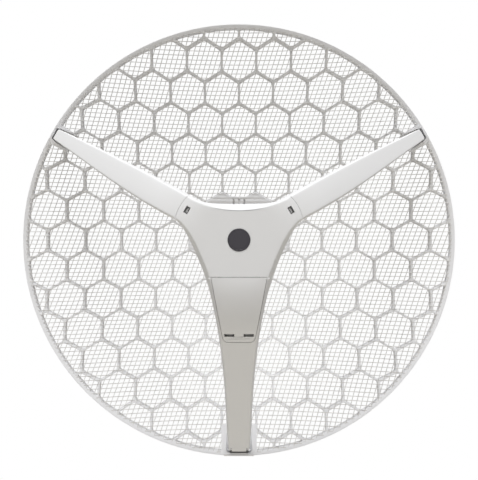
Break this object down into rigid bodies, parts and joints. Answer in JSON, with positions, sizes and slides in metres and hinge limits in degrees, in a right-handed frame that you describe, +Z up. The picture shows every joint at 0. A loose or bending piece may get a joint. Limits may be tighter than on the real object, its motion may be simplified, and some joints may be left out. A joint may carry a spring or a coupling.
{
  "type": "parabolic grid antenna",
  "caption": "Round white grid reflector of hexagon ribs and fine slanted mesh, with a three-armed feed unit in front, a hinged port door and a tilting pole clamp behind.",
  "frame": {"origin": "on the pole's axis, midway between the two clamp bands", "axes": "+Z up along the pole; the antenna looks along -Y; +X to the right as seen from the front"},
  "size_m": [0.55, 0.3521, 0.554],
  "materials": {
    "bracket_plastic": "fine moulded texture, UV-stable white-grey",
    "grid_plastic": "smooth white moulding",
    "coated_wire": "powder-coated fine wire",
    "cover_plastic": "fine satin moulded texture",
    "badge_dark": "satin dark disc",
    "radome_plastic": "satin",
    "steel_band": "brushed stainless",
    "zinc_fasteners": "zinc plated",
    "tinned_metal": "tinned sheet",
    "copper_plate": "bare plated metal",
    "nylon": "natural nylon",
    "board_green": "solder mask",
    "chip_black": "moulded package",
    "led_lens": "clear tinted lens",
    "button_red": "moulded"
  },
  "bodies": {
    "pole_mount": {"pole_bracket": "bracket_plastic", "clamp_band_upper": "steel_band", "clamp_band_lower": "steel_band", "clamp_housing_upper": "steel_band", "clamp_housing_lower": "steel_band", "tilt_bolt": "zinc_fasteners", "tilt_nut": "zinc_fasteners", "tilt_washers": "zinc_fasteners", "lock_bolt": "zinc_fasteners", "lock_nut": "zinc_fasteners"},
    "clamp_screw_upper": {"clamp_screw_upper": "zinc_fasteners"},
    "clamp_screw_lower": {"clamp_screw_lower": "zinc_fasteners"},
    "port_door": {"port_door": "cover_plastic"},
    "reset_button": {"reset_button": "button_red"},
    "antenna": {"hub_bracket": "bracket_plastic", "hub_screws": "zinc_fasteners", "board_screws": "zinc_fasteners", "cover_screws": "zinc_fasteners", "reflector_grid": "grid_plastic", "reflector_mesh": "coated_wire", "front_cover": "cover_plastic", "rear_cover": "cover_plastic", "left_arm": "cover_plastic", "right_arm": "cover_plastic", "front_badge": "badge_dark", "feed_radome": "radome_plastic", "feed_ground": "tinned_metal", "feed_patch": "copper_plate", "feed_pins": "copper_plate", "feed_spacers": "nylon", "circuit_board": "board_green", "radio_shield": "tinned_metal", "board_parts": "chip_black", "status_leds": "led_lens", "ethernet_jack": "tinned_metal", "reset_switch": "chip_black"}
  },
  "joints": [
    {"name": "elevation", "type": "hinge", "parent": "pole_mount", "child": "antenna", "pos_m": [0, -0.046, 0], "axis": [-1, 0, 0], "range_deg": [-15, 15]},
    {"name": "clamp_screw_upper_turn", "type": "hinge", "parent": "pole_mount", "child": "clamp_screw_upper", "pos_m": [0.0315, -0.013, 0.036], "axis": [0, 1, 0], "continuous": true},
    {"name": "clamp_screw_lower_turn", "type": "hinge", "parent": "pole_mount", "child": "clamp_screw_lower", "pos_m": [0.0315, -0.013, -0.036], "axis": [0, 1, 0], "continuous": true},
    {"name": "door_hinge", "type": "hinge", "parent": "antenna", "child": "port_door", "pos_m": [0, -0.3244, -0.0425], "axis": [-1, 0, 0], "range_deg": [0, 100]},
    {"name": "reset_press", "type": "slide", "parent": "antenna", "child": "reset_button", "axis": [0, 1, 0], "range_m": [0, 0.0005], "stiffness_N_per_m": 400}
  ]
}
